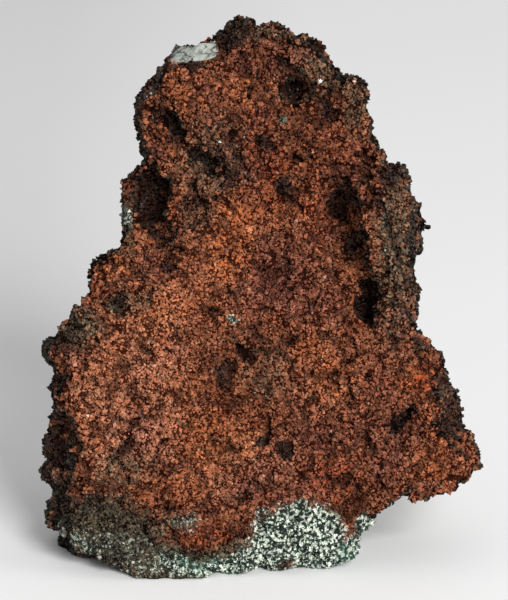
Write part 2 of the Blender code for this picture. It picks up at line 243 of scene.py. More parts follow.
RIM_DENTS = [
    Patch("left flange", -23.6, 45.8, 2.4, 1.6, 0.0, 1.2),
    Patch("left notch", -18.8, 57.8, 2.0, 1.0, 0.0, 0.4),
    Patch("upper left", -16.0, 69.6, 2.4, 2.4, 0.0, 0.7),
    Patch("crest, top right", 5.8, 78.2, 3.2, 1.6, -24.0, 0.6),
    Patch("right shoulder", 23.0, 50.0, 2.4, 2.2, 0.0, 0.7),
    Patch("over the right shoulder", 21.6, 56.4, 1.6, 1.4, 0.0, 0.6),
    Patch("right flank", 27.2, 28.6, 2.4, 2.0, 0.0, 0.7),
    Patch("left end of the foot", -28.4, 5.0, 2.4, 2.4, 0.0, 1.5),
]

# Where the whole crust is painted lighter
BRIGHT = [
    Patch("lower left", -19.0, 27.0, 10.5, 12.0, 0.0, 1.00),
    Patch("left of the middle", -13.0, 36.0, 8.0, 7.0, 0.0, 0.80),
    Patch("vein in the middle", -5.0, 45.0, 4.0, 9.0, 0.0, 0.60),
    Patch("lower middle", -3.0, 19.0, 9.0, 6.0, 0.0, 0.75),
    Patch("right of the middle", 9.0, 28.0, 7.0, 6.0, 0.0, 0.55),
    Patch("left shoulder", -20.0, 43.5, 4.0, 3.0, 0.0, 0.70),
    Patch("crest", 8.0, 71.5, 7.0, 5.5, 0.0, 0.60),
    Patch("rib", 19.4, 46.0, 4.0, 13.0, 0.0, 0.50),
]

# Where the crust is a brighter orange-brown
WARM = [
    Patch("lower left", -20.5, 27.0, 9.5, 10.5, 0.0, 0.25),
    Patch("left of the middle", -13.3, 35.3, 6.3, 5.0, 0.0, 0.35),
    Patch("vein in the middle", -4.6, 48.5, 3.6, 7.3, 0.0, 0.85),
    Patch("lower middle", -6.3, 21.3, 4.6, 4.0, 0.0, 0.45),
    Patch("under the crest", -3.5, 69.2, 6.6, 3.6, 0.0, 0.50),
    Patch("upper left block", -11.2, 68.2, 4.0, 2.6, 0.0, 0.42),
    Patch("spot at the right", 20.6, 27.6, 3.0, 3.0, 0.0, 0.75),
    Patch("right of the middle", 9.1, 29.4, 5.0, 3.6, 0.0, 0.45),
    Patch("upper right", 8.4, 61.2, 5.0, 5.0, 0.0, 0.42),
    Patch("low right", 23.8, 17.8, 4.4, 3.6, 0.0, 0.45),
    Patch("over the pale foot", 11.4, 9.4, 2.1, 2.2, 0.0, 0.75),
    Patch("left shoulder", -20.3, 43.7, 3.2, 2.6, 0.0, 0.55),
    Patch("bottom band", -12.4, 14.0, 7.0, 2.8, 0.0, 0.45),
    Patch("strip in the foot", -6.6, 6.8, 5.2, 1.4, 12.0, 0.40),
    Patch("knob by the notch", -11.8, 59.8, 1.2, 2.4, 10.0, 0.80),
]

# Where the crust is a deeper red
RED = [
    Patch("upper middle", 0.4, 59.5, 3.2, 8.0, 0.0, 0.50),
    Patch("right of the upper middle", 7.7, 51.4, 2.6, 5.6, 0.0, 0.42),
    Patch("spot at the right", 22.8, 28.4, 2.2, 2.6, 0.0, 0.50),
    Patch("strip in the foot", -8.6, 6.6, 4.6, 1.5, 14.0, 0.42),
    Patch("lower right", 9.5, 15.5, 5.5, 4.0, 0.0, 0.45),
]

# Where the crust is more purple or pink than orange
PURPLE = [
    Patch("middle", 2.8, 41.5, 7.0, 8.0, 0.0, 0.80),
    Patch("right of the middle", 16.0, 21.0, 7.0, 7.0, 0.0, 0.60),
    Patch("lower middle", 1.0, 15.0, 7.0, 4.0, 0.0, 0.50),
    Patch("lower left", -17.0, 21.0, 4.6, 4.6, 0.0, 0.60),
    Patch("crest", 2.0, 73.5, 7.0, 3.4, 0.0, 0.80),
    Patch("right shoulder", 17.0, 55.0, 5.0, 4.0, -30.0, 0.80),
    Patch("left rim", -27.0, 32.0, 2.2, 8.0, 0.0, 0.50),
]

# Where the crust is grey-brown or olive
OLIVE = [
    Patch("crest, right", 9.6, 70.8, 5.4, 5.0, 0.0, 0.65),
    Patch("crest, top", 2.2, 76.2, 6.0, 3.4, 0.0, 0.65),
    Patch("upper right", 12.6, 67.0, 3.4, 4.4, 0.0, 0.65),
    Patch("rib", 19.6, 46.0, 4.6, 14.5, 0.0, 0.72),
    Patch("left flange", -18.5, 51.4, 2.0, 5.0, 0.0, 0.80),
    Patch("hollow at the left edge", -25.9, 36.0, 4.6, 3.0, 0.0, 0.80),
    Patch("foot, left", -21.5, 6.0, 9.6, 5.6, 0.0, 1.30),
    Patch("foot, lower", -9.0, 1.8, 15.0, 3.2, 0.0, 1.40),
    Patch("upper left", -7.6, 56.6, 6.4, 4.8, 0.0, 0.60),
    Patch("under the upper left lump", -9.0, 51.6, 4.0, 3.0, 0.0, 0.50),
    Patch("middle, low", 0.4, 29.0, 4.6, 6.0, 0.0, 0.50),
    Patch("green hollow", -18.4, 39.0, 4.2, 1.3, 12.0, 0.62),
    Patch("upper left block, lower", -7.0, 62.6, 5.6, 3.2, 0.0, 0.45),
    Patch("bottom left", -20.0, 15.6, 4.6, 3.4, 0.0, 0.55),
]

# Where the stone is painted nearly black: painted shade in hollows, pits, cracks and under
# overhangs, dark rock at the crest, dark rock and painted shade along the edges, and a little over
# the upper face
DARK_ROCK_AND_SHADE = [
    Patch("crest, left end", -4.0, 76.6, 3.2, 4.2, 0.0, 1.25),
    Patch("over the pale slab", -9.4, 76.2, 4.6, 1.3, 4.0, 1.20),
    Patch("under the pale slab", -10.0, 72.0, 4.6, 1.2, 0.0, 0.95),
    Patch("upper face", -1.0, 63.0, 15.0, 14.0, 0.0, 0.49),
    Patch("upper left edge", -16.6, 68.0, 1.6, 5.6, -24.0, 0.90),
    Patch("left edge under it", -17.4, 60.0, 1.5, 5.0, 0.0, 0.85),
    Patch("left flank", -29.0, 16.0, 2.6, 8.5, 0.0, 1.10),
    Patch("foot, left end", -28.4, 8.2, 2.4, 3.6, 0.0, 0.80),
    Patch("left edge, middle", -28.6, 33.0, 1.0, 3.6, 0.0, 0.60),
    Patch("right flank", 26.8, 25.2, 2.0, 6.4, 24.0, 0.95),
    Patch("right edge, upper", 24.0, 33.6, 1.2, 2.4, 20.0, 0.80),
    Patch("top of the rib", 18.4, 57.0, 3.6, 2.4, -30.0, 0.80),
    Patch("rib, upper left", 15.4, 53.6, 1.8, 2.4, 0.0, 0.75),
    Patch("hollow at the left notch", -15.2, 53.4, 1.6, 6.8, 4.0, 1.10),
    Patch("hollow under the notch", -13.4, 48.4, 2.6, 1.4, 0.0, 0.75),
    Patch("cleft", -12.2, 63.8, 1.0, 2.7, 32.0, 1.00),
    Patch("pocket", -8.6, 59.0, 2.6, 1.2, -14.0, 0.90),
    Patch("pocket, right end", -4.8, 57.4, 2.4, 0.8, -30.0, 0.70),
    Patch("hollow in the upper left lump", -8.4, 53.4, 1.9, 1.6, 0.0, 0.75),
    Patch("round hole", 4.3, 68.7, 1.1, 1.1, 0.0, 1.90),
    Patch("small hole", 3.0, 71.9, 1.2, 0.6, -30.0, 1.40),
    Patch("under the right lump", 8.2, 65.2, 0.9, 2.8, 38.0, 0.90),
    Patch("trough by the rib, upper", 10.2, 52.4, 1.6, 2.8, 6.0, 1.05),
    Patch("trough by the rib, lower", 12.8, 46.4, 1.4, 2.8, 34.0, 1.00),
    Patch("hole by the rib", 14.5, 38.6, 1.4, 3.3, 0.0, 1.10),
    Patch("long upright pit", -4.8, 29.8, 1.2, 3.4, 0.0, 0.74),
    Patch("slit", 19.6, 22.9, 2.2, 0.7, 40.0, 1.70),
    Patch("right corner", 31.0, 16.4, 1.4, 4.4, 0.0, 0.90),
    Patch("pit left of the lower middle", 0.3, 20.0, 0.8, 1.2, 0.0, 1.10),
    Patch("pit in the lower middle", 3.4, 18.9, 0.8, 1.7, 0.0, 1.20),
    Patch("pit right of the middle, low", 15.3, 18.9, 0.7, 0.6, 0.0, 0.90),
    Patch("pit at mid left", -12.4, 44.3, 0.9, 0.7, 0.0, 0.80),
    Patch("crack at mid left", -15.6, 45.2, 0.6, 2.4, 12.0, 0.80),
    Patch("paired pits", 3.4, 54.0, 1.4, 1.2, 0.0, 0.95),
    Patch("pit in the upper middle", 0.9, 60.9, 1.3, 1.1, 0.0, 0.95),
    Patch("dents at lower left", -18.9, 18.9, 1.6, 1.9, 0.0, 0.66),
    Patch("dip over the foot", -2.8, 12.4, 4.6, 1.0, 0.0, 0.60),
]

# Where the pale, speckled rock shows
PALE = [
    Patch("foot, right", 6.4, 6.6, 7.0, 4.8, 0.0, 1.25),
    Patch("foot, right, upper", 5.6, 8.8, 4.4, 2.0, 0.0, 0.90),
    Patch("foot, right end", 12.2, 3.8, 2.6, 3.0, 0.0, 1.20),
    Patch("foot, right, low", 8.0, 2.4, 5.0, 2.0, 0.0, 1.20),
    Patch("specks over the left foot", -20.0, 5.0, 9.0, 4.5, 0.0, 0.43),
    Patch("foot, middle", -1.2, 3.6, 7.4, 2.3, 10.0, 1.20),
    Patch("foot, low", -9.4, 2.2, 7.4, 1.8, 2.0, 0.70),
    Patch("streak over the foot", 3.4, 10.4, 3.0, 0.8, 16.0, 0.80),
    Patch("greenish lump in the foot", -11.4, 8.4, 2.6, 1.8, -30.0, 0.55),
    Patch("bottom left", -25.4, 5.6, 5.0, 1.2, -24.0, 0.62),
    Patch("bottom rim", -16.0, 1.8, 6.4, 1.2, -8.0, 0.45),
    Patch("right of the foot", 14.3, 8.0, 1.0, 1.5, 0.0, 1.00),
    # Painted glints: pale speckled colour where the crust glints at the upper left
    Patch("glints at the upper left", -16.4, 67.8, 0.7, 1.6, -30.0, 0.60),
    Patch("left flange", -18.6, 51.0, 0.9, 2.6, 10.0, 0.62),
    Patch("white spot in the middle", -3.9, 36.7, 0.7, 0.6, 0.0, 1.00),
    Patch("tan spot on the rib", 17.2, 46.1, 1.1, 0.9, 0.0, 0.50),
    Patch("specks by the hole near the crest", 8.0, 69.4, 0.5, 0.3, 0.0, 0.60),
    Patch("white speck at the upper left", -5.7, 61.0, 0.3, 0.3, 0.0, 1.00),
]

# Where a broken face of pale rock is bare of crystals
SLAB = [
    Patch("slab at the upper left", -9.5, 73.9, 3.3, 1.15, 3.0, 1.20, True),
]

# Where green and turquoise minerals show
GREEN = [
    Patch("turquoise corner of the foot", 11.6, 4.4, 2.6, 2.2, 0.0, 0.50),
    Patch("green lump in the foot", -12.2, 8.4, 2.4, 1.4, 0.0, 0.50),
    Patch("foot, lower edge", -8.0, 2.8, 7.0, 1.6, 0.0, 0.48),
    Patch("spot on the rib", 16.7, 50.0, 0.8, 1.2, 0.0, 0.75),
    Patch("spot near the crest", 3.3, 64.0, 0.5, 0.6, 0.0, 0.80),
    Patch("spot in the green hollow", -20.4, 38.5, 0.8, 0.5, 20.0, 0.70),
    Patch("speck at the upper left", -9.4, 57.9, 0.3, 0.3, 0.0, 1.00),
]

# Where the lumps stand out further and are rounder
KNOBBLY = [
    Patch("crest", 4.0, 74.6, 7.0, 4.0, 0.0, 1.00),
    Patch("crest, right", 12.0, 69.6, 4.0, 4.4, 0.0, 1.00),
    Patch("right shoulder", 16.6, 59.0, 4.6, 4.6, 0.0, 1.00),
    Patch("rib", 18.6, 46.0, 3.6, 13.0, 0.0, 0.90),
    Patch("upper left", -8.4, 56.4, 5.0, 4.0, 0.0, 0.80),
    Patch("left shoulder", -20.6, 43.4, 4.0, 3.6, 0.0, 0.80),
    Patch("lower left rim", -25.0, 16.0, 4.0, 7.0, 0.0, 0.80),
    Patch("right rim", 24.6, 27.0, 3.4, 7.0, 20.0, 0.80),
    Patch("foot, left", -20.0, 7.0, 9.0, 4.4, 0.0, 0.70),
]

PATCHES = {
    "bright": (BRIGHT, SOFT_EDGE),
    "warm": (WARM, SOFT_EDGE),
    "red": (RED, SOFT_EDGE),
    "purple": (PURPLE, SOFT_EDGE),
    "olive": (OLIVE, SOFT_EDGE),
    "dark": (DARK_ROCK_AND_SHADE, DARK_EDGE),
    "pale": (PALE, PALE_EDGE),
    "slab": (SLAB, HARD_EDGE),
    "green": (GREEN, PALE_EDGE),
}


def face_to_world():
    """The change from the face's frame in millimetres to the part's frame in metres."""
    upright = Matrix.Rotation(math.radians(90.0 - FACE_LEAN_DEG), 4, "X")
    down = Matrix.Translation((-BOX_MIDDLE_X, -BOX_MIDDLE_Y, -FLOOR_LEVEL))
    return Matrix.Scale(MM, 4) @ down @ upright


FACE_TO_WORLD = face_to_world()
WORLD_TO_FACE = FACE_TO_WORLD.inverted()


# Reading and writing meshes

def points_of(mesh):
    points = np.empty(len(mesh.vertices) * 3)
    mesh.vertices.foreach_get("co", points)
    return points.reshape(-1, 3)


def normals_of(mesh):
    normals = np.empty(len(mesh.vertices) * 3)
    mesh.vertex_normals.foreach_get("vector", normals)
    return normals.reshape(-1, 3)


def set_points(mesh, points):
    mesh.vertices.foreach_set("co", points.ravel())
    mesh.update()


def triangles_of(mesh):
    mesh.calc_loop_triangles()
    corners = np.empty(len(mesh.loop_triangles) * 3, dtype=np.int32)
    mesh.loop_triangles.foreach_get("vertices", corners)
    return corners.reshape(-1, 3)


def mesh_from(name, points, triangles):
    mesh = bpy.data.meshes.new(name)
    mesh.vertices.add(len(points))
    mesh.vertices.foreach_set("co", points.ravel())
    mesh.loops.add(len(triangles) * 3)
    mesh.loops.foreach_set("vertex_index", triangles.ravel())
    mesh.polygons.add(len(triangles))
    mesh.polygons.foreach_set("loop_start", np.arange(0, len(triangles) * 3, 3))
    mesh.update(calc_edges=True)
    mesh.validate()
    mesh.shade_flat()
    return mesh


def link(name, mesh):
    obj = bpy.data.objects.new(name, mesh)
    bpy.context.scene.collection.objects.link(obj)
    return obj


def write_attributes(mesh, attributes):
    for name, values in attributes.items():
        layer = mesh.attributes.new(name, "FLOAT", "POINT")
        layer.data.foreach_set("value", values.astype(np.float32))


# Noise and patches

def noise_at(points, size, shift=0.0):
    """Smooth noise, from about -1 to 1, with swells of this size."""
    move = Vector((shift, shift, shift))
    return np.array([noise.noise(Vector(point) / size + move) for point in points])


def warped(points, size, strength, shift=0.0):
    """The points, each moved by smooth noise."""
    move = Vector((shift, shift, shift))
    moves = [noise.noise_vector(Vector(point) / size + move) for point in points]
    return points + strength * np.array(moves)


def smoothstep(values, low, high):
    share = np.clip((values - low) / (high - low), 0.0, 1.0)
    return share * share * (3.0 - 2.0 * share)


def lumps_at(points, size):
    """Lumps: their shape, from 0 to 1, a number of each one's own, and the creases round them."""
    found = [noise.voronoi(Vector(point) / size) for point in points]
    near = np.array([distances[0] for distances, _ in found])
    next_near = np.array([distances[1] for distances, _ in found])
    own = np.array([noise.cell(middles[0] * 31.0) for _, middles in found]) % 1.0
    dome = np.sqrt(1.0 - 0.6 * np.minimum(near, 1.0) ** 2)
    creases = 1.0 - smoothstep(next_near - near, 0.0, CREASE)
    shape = dome * (1.0 - CREASE_CUT * creases) * (LOWEST_LUMP + (1.0 - LOWEST_LUMP) * own)
    return shape, own, creases


def strength_at(patches, points, bent):
    """How strong the strongest patch is at each point.

    The bent points make its edge ragged. Its middle stays where it was set, on the stone's front.
    """
    strength = np.zeros(len(points))
    for patch in patches:
        away = np.hypot(points[:, 0] - patch.u, points[:, 1] - patch.v)
        middle = np.argmin(away - FRONT_PREFERENCE * points[:, 2])
        bending = min(math.sqrt(patch.half_width * patch.half_height) / FULLY_BENT, 1.0)
        u, v = ((1.0 - bending) * (points - points[middle]) + bending * (bent - bent[middle])).T[:2]
        turn = math.radians(patch.turn_deg)
        across = u * math.cos(turn) + v * math.sin(turn)
        along = v * math.cos(turn) - u * math.sin(turn)
        squares = (across / patch.half_width) ** 2, (along / patch.half_height) ** 2
        square = np.maximum(*squares) if patch.box else sum(squares)
        strength = np.maximum(strength, patch.strength * np.exp(-(square**1.5)))
    return strength


# The stone under the crystals

def keep_modified_mesh(obj):
    """Makes the mesh that the object's modifiers give its own, and removes the modifiers."""
    bpy.context.view_layer.update()
    graph = bpy.context.evaluated_depsgraph_get()
    mesh = bpy.data.meshes.new_from_object(obj.evaluated_get(graph))
    obj.modifiers.clear()
    obj.data = mesh


def make_body():
    """A fine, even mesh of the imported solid, in the face's frame and in millimetres."""
    bm = bmesh.new()
    bm.from_mesh(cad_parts[NODE].data)
    bm.transform(WORLD_TO_FACE)
    bmesh.ops.remove_doubles(bm, verts=bm.verts, dist=WELD_DISTANCE)
    mesh = bpy.data.meshes.new("stone")
    bm.to_mesh(mesh)
    bm.free()
    body = link("stone", mesh)
    modifier = body.modifiers.new("Even mesh", "REMESH")
    modifier.mode = "VOXEL"
    modifier.voxel_size = BODY_VOXEL
    keep_modified_mesh(body)
    return body


def heights_over_floor(points):
    """How high points in the face's frame are over the floor, in millimetres."""
    lean = math.radians(FACE_LEAN_DEG)
    return points[:, 1] * math.cos(lean) + points[:, 2] * math.sin(lean) - FLOOR_LEVEL


def press_on_floor(points):
    """Moves points that are under the floor up to it."""
    lean = math.radians(FACE_LEAN_DEG)
    up = np.array((0.0, math.cos(lean), math.sin(lean)))
    depth = np.maximum(-heights_over_floor(points), 0.0)
    return points + depth[:, None] * up


def frontness_of(normals):
    """1 where the stone faces the viewer, 0 at its sides and back."""
    return smoothstep(normals[:, 2], 0.15, 0.50)


def near_frontness_of(normals):
    """1 where the stone faces the viewer or the side, 0 where it faces backwards."""
    return smoothstep(normals[:, 2], -0.45, 0.0)


def roughen_body(body):
    """Adds lumps, pits and hollows.

    Returns the points before that, what the stone is made of at each of them, and painted shade
    in its creases, pits and low ground.
    """
    points = points_of(body.data)
    normals = normals_of(body.data)
    front = frontness_of(normals)
    on_face = bent_for_patches(points)
    made_of = masks_at(points, on_face, front, near_frontness_of(normals))
    hollows = HOLLOW_DEPTH * strength_at(HOLLOWS, points, on_face) * front
    knobbly = strength_at(KNOBBLY, points, on_face)
    rim = strength_at(RIM_LUMPS, points, points) - strength_at(RIM_DENTS, points, points)
    rim *= np.sqrt(np.maximum(1.0 - normals[:, 2] ** 2, 0.0))

    bent = warped(points, *WARP)
    boulders, own_tone, _ = lumps_at(bent, BOULDERS[0])
    lumps, own_lump_tone, creases = lumps_at(bent, LUMPS[0])
    small_lumps, _, small_creases = lumps_at(bent, SMALL_LUMPS[0])
    relief = (boulders - MIDDLE_HEIGHT) * BOULDERS[1] * (0.5 + 0.5 * front)
    relief += (lumps - MIDDLE_HEIGHT) * LUMPS[1] * (1.0 + KNOBBLY_RISE * knobbly)
    relief += (small_lumps - MIDDLE_HEIGHT) * SMALL_LUMPS[1]
    # Painted shade in the creases between lumps, and below in the pits
    shaded = np.maximum(CREASE_SHADE * creases, SMALL_CREASE_SHADE * small_creases)
    for size, depth, begin, deepest in RAGGED_PITS:
        pit_noise = noise_at(bent, size, 5.0) + 0.5 * noise_at(bent, size / 2, 9.0)
        pits = smoothstep(pit_noise, begin, deepest)
        relief -= pits * depth * (0.45 + 0.55 * front)
        shaded = np.maximum(shaded, pits)
    relief *= 1.0 - 0.85 * made_of["slab"]
    heights = relief + rim - hollows - BODY_INSET
    heights *= smoothstep(heights_over_floor(points), 0.05, 0.8)
    set_points(body.data, press_on_floor(points + normals * heights[:, None]))

    # Painted shade where the ground is low, creased or pitted, with some of the darker mineral that
    # lies in hollows
    made_of["low"] = np.maximum(shaded, smoothstep(-relief, *LOW_GROUND))
    made_of["tone"] = 0.5 * own_tone + 0.5 * own_lump_tone
    # Only crystals lean to a hue of their own, and the stone under them has the middle one
    made_of["hue"] = np.full(len(points), 0.5)
    return points, made_of


def crease_painted_shade_at(points):
    """Painted shade in the creases between lumps: 1 in their middle, 0 on the lumps."""
    bent = warped(points, *WARP)
    creases = [share * lumps_at(bent, size)[2]
               for size, share in ((BOULDERS[0], 0.80), (LUMPS[0], 1.0), (SMALL_LUMPS[0], 0.55))]
    broken = smoothstep(noise_at(points, 3.0, 41.0), -0.3, 0.3)
    return smoothstep(np.maximum.reduce(creases), *DARK_CREASE) * broken


def bent_for_patches(points):
    """The points as moved by noise before patches and hollows are laid over them."""
    for number, (size, strength) in enumerate(PATCH_WARPS, start=1):
        points = warped(points, size, strength, 13.0 * number)
    return points


def masks_at(points, bent, front, near_front):
    """How much each kind of crust or rock makes up the stone at each point, with painted shade in
    hollows and on the sides, and painted light on the back.
    """
    swell = noise_at(points, SWELL_SIZE, 3.0)
    masks = {}
    for name, (patches, edge) in PATCHES.items():
        strength = strength_at(patches, points, points if name == "slab" else bent)
        seen = near_front if name in ("pale", "green", "slab") else front
        masks[name] = smoothstep(strength, *edge) * seen
    warmer = SWELL_WARMTH * smoothstep(swell, *SWELL_EDGE)
    masks["warm"] = np.clip(masks["warm"] + warmer, 0.0, 1.0)
    more_purple = SWELL_PURPLE * smoothstep(-swell, *SWELL_EDGE)
    masks["purple"] = np.clip(masks["purple"] + more_purple, 0.0, 1.0)

    behind = smoothstep(-points[:, 2], *BACK_BEGINS) * (1.0 - front)
    rock = smoothstep(noise_at(bent, BACK_ROCK_SIZE, 11.0), 0.0, 0.25) * behind
    masks["pale"] = np.maximum(masks["pale"], BACK_ROCK_SHARE * rock)
    crusted = smoothstep(noise_at(bent, BACK_CRUST_SIZE, 17.0), -0.1, 0.3) * behind
    olive = (1.0 - front) * (1.0 - BACK_CRUST_SHARE * crusted)
    masks["olive"] = np.maximum(masks["olive"], olive)
    # Dark rock and painted shade on the sides, fading out towards the back
    dark = (1.0 - front) * (DARKEST_SIDE - DARKEST_SIDE * behind)
    masks["dark"] = np.maximum(masks["dark"], dark)
    # Painted light on the back, which the lamps light little: its crust is painted lighter
    masks["bright"] = np.maximum(masks["bright"], behind)
    return masks


# Crystals

OCTAHEDRON = np.array(
    [(1, 0, 0), (0, 1, 0), (-1, 0, 0), (0, -1, 0), (0, 0, 1), (0, 0, -1)], dtype=float
)
OCTAHEDRON_FACES = np.array(
    [(0, 1, 4), (1, 2, 4), (2, 3, 4), (3, 0, 4), (1, 0, 5), (2, 1, 5), (3, 2, 5), (0, 3, 5)]
)


def spread_out(places, spacing):
    """Which places to keep, so that those kept are at least their spacing apart."""
    tree = kdtree.KDTree(len(places))
    for number, place in enumerate(places):
        tree.insert(place, number)
    tree.balance()
    kept = np.ones(len(places), dtype=bool)
    for number, place in enumerate(places):
        if kept[number]:
            for _, other, _ in tree.find_range(place, spacing[number]):
                kept[other] = other == number
    return kept


def scatter(mesh, rest, made_of, random):
    """Even places on the mesh, with their normals and spacings.

    With them come the same places on the stone at rest, before its lumps and pits were added,
    and what the stone is made of there, with its painted shade and painted light.
    """
    points = points_of(mesh)
    normals = normals_of(mesh)
    triangles = triangles_of(mesh)
    a, b, c = (points[triangles[:, corner]] for corner in range(3))
    areas = np.linalg.norm(np.cross(b - a, c - a), axis=1) / 2
    count = int(areas.sum() / FRONT_SPACING**2 * PLACES_TRIED)
    chosen = random.choice(len(triangles), size=count, p=areas / areas.sum())
    shares = random.dirichlet((1.0, 1.0, 1.0), size=count)
    corners = triangles[chosen]

    def between(values):
        return np.einsum("nk,nk...->n...", shares, values[corners])

    places = between(points)
    outward = between(normals)
    outward /= np.maximum(np.linalg.norm(outward, axis=1), 1e-9)[:, None]
    spacing = np.where(outward[:, 2] > BACKWARD, FRONT_SPACING, BACK_SPACING)
    made_of = {name: between(values) for name, values in made_of.items()}
    bare = made_of["slab"] > 0.5
    high = heights_over_floor(places) > LARGEST / 2
    kept = spread_out(places, spacing) & high & ~bare
    made_of = {name: values[kept] for name, values in made_of.items()}
    return places[kept], outward[kept], spacing[kept], between(rest)[kept], made_of


def random_turns(count, random):
    """Evenly spread random rotations, as matrices."""
    q = random.normal(size=(count, 4))
    q /= np.linalg.norm(q, axis=1)[:, None]
    w, x, y, z = q.T
    return np.stack(
        [
            np.stack([1 - 2 * (y * y + z * z), 2 * (x * y - w * z), 2 * (x * z + w * y)], axis=1),
            np.stack([2 * (x * y + w * z), 1 - 2 * (x * x + z * z), 2 * (y * z - w * x)], axis=1),
            np.stack([2 * (x * z - w * y), 2 * (y * z + w * x), 1 - 2 * (x * x + y * y)], axis=1),
        ],
        axis=1,
    )


def fissures_at(points):
    """1 in the thin fissures that wander over the stone, 0 away from them."""
    wander = np.abs(noise_at(warped(points, *WARP), FISSURE_SIZE, 21.0))
    broken = smoothstep(noise_at(points, 1.7 * FISSURE_SIZE, 27.0), -0.1, 0.3)
    return (1.0 - smoothstep(wander, 0.0, FISSURE_EDGE)) * broken


def grow_crystals(body, rest, made_of, random):
    """Crystals all over the stone but its base and the slab: the dull and the glossy pieces."""
    places, outward, spacing, rest, made_of = scatter(body.data, rest, made_of, random)
    count = len(places)
    glossy = random.random(count) < GLOSSY_SHARE * (1.0 - made_of["pale"])
    radii = CRYSTAL_RADIUS * np.exp(random.normal(0.0, SIZE_SPREAD, count))
    radii *= np.where(spacing > FRONT_SPACING, BACK_GROWTH, 1.0)
    radii = np.clip(radii, SMALLEST, LARGEST)

    gaps = smoothstep(-noise_at(places, CLUMP_SIZE, 31.0), *DARK_GAPS)
    fissures = fissures_at(places)
    # Most crystals stand high, and few have sunk
    sunk = SINK * random.random(count) ** 2.2
    lift = HIGHEST - sunk - GAP_DEPTH * gaps - FISSURE_DEPTH * fissures
    lift -= SIDE_SINK * (1.0 - np.clip(outward[:, 2], 0.0, 1.0))
    centres = places + outward * lift[:, None]
    over = heights_over_floor(centres) - FLOOR_CLEARANCE
    radii = np.minimum(radii, np.maximum(over, SMALLEST / 2))
    sizes = radii[:, None] * random.uniform(*STRETCH, (count, 3))
    turns = random_turns(count, random)

    for name in PATCHES:
        share = made_of[name]
        mingled = MINGLING * (random.random(count) - 0.5) * 4.0 * share * (1.0 - share)
        made_of[name] = np.clip(share + mingled, 0.0, 1.0)
    # Painted shade in low ground, creases, fissures and gaps, and on sunken crystals
    low = [made_of["low"], crease_painted_shade_at(rest), FISSURE_SHADE * fissures, GAP_SHADE * gaps,
           SUNKEN_SHADE * smoothstep(sunk, *SUNKEN)]
    made_of["low"] = np.maximum.reduce(low)
    made_of["grain"] = random.random(count)
    made_of["hue"] = random.random(count)
    made_of["gloss"] = random.random(count)

    def joined(name, part):
        shapes = OCTAHEDRON[None] * sizes[part][:, None, :]
        points = np.einsum("nij,nkj->nki", turns[part], shapes) + centres[part][:, None, :]
        starts = np.arange(len(part)) * len(OCTAHEDRON)
        triangles = (OCTAHEDRON_FACES[None] + starts[:, None, None]).reshape(-1, 3)
        mesh = mesh_from(name, press_on_floor(points.reshape(-1, 3)), triangles)
        spread = {mask: np.repeat(values[part], len(OCTAHEDRON)) for mask, values in made_of.items()}
        write_attributes(mesh, spread)
        return link(name, mesh)

    def pieces(name, chosen):
        order = np.argsort(places[:, 1], kind="stable")
        order = order[chosen[order]]
        triangles = len(order) * len(OCTAHEDRON_FACES)
        parts = np.array_split(order, math.ceil(triangles / MOST_TRIANGLES_IN_A_PIECE))
        return [joined(f"{name}_{number}", part) for number, part in enumerate(parts, start=1)]

    return pieces("crystals", ~glossy), pieces("glossy_crystals", glossy)


# Materials

class Graph:
    """Short ways to add nodes to a material and join them."""

    def __init__(self, name):
        self.material = bpy.data.materials.new(name)
        self.material.use_nodes = True
        self.nodes = self.material.node_tree.nodes
        self.links = self.material.node_tree.links
        self.shader = self.nodes["Principled BSDF"]

    def join(self, source, target):
        if isinstance(source, bpy.types.NodeSocket):
            self.links.new(source, target)
        else:
            target.default_value = source

    def attribute(self, name):
        node = self.nodes.new("ShaderNodeAttribute")
        node.attribute_name = name
        return node.outputs["Fac"]

    def place(self):
        return self.nodes.new("ShaderNodeTexCoord").outputs["Object"]

    def noise(self, size_mm, detail=3.0):
        node = self.nodes.new("ShaderNodeTexNoise")
        node.inputs["Scale"].default_value = 1.0 / (size_mm * MM)
        node.inputs["Detail"].default_value = detail
        self.join(self.place(), node.inputs["Vector"])
        return node.outputs["Fac"]

    def math(self, operation, first, second):
        node = self.nodes.new("ShaderNodeMath")
        node.operation = operation
        self.join(first, node.inputs[0])
        self.join(second, node.inputs[1])
        return node.outputs[0]

    def ranged(self, value, low, high, new_low, new_high):
        node = self.nodes.new("ShaderNodeMapRange")
        self.join(value, node.inputs["Value"])
        node.inputs["From Min"].default_value = low
        node.inputs["From Max"].default_value = high
        node.inputs["To Min"].default_value = new_low
        node.inputs["To Max"].default_value = new_high
        return node.outputs["Result"]

    def ramp(self, value, stops):
        node = self.nodes.new("ShaderNodeValToRGB")
        elements = node.color_ramp.elements
        while len(elements) < len(stops):
            elements.new(0.5)
        for element, (position, colour) in zip(elements, stops):
            element.position = position
            element.color = (*colour, 1.0)
        self.join(value, node.inputs["Fac"])
        return node.outputs["Color"]

    def mix(self, share, first, second, blend="MIX"):
        node = self.nodes.new("ShaderNodeMix")
        node.data_type = "RGBA"
        node.blend_type = blend
        self.join(share, node.inputs["Factor"])
        self.join(first, node.inputs[6])
        self.join(second, node.inputs[7])
        return node.outputs[2]


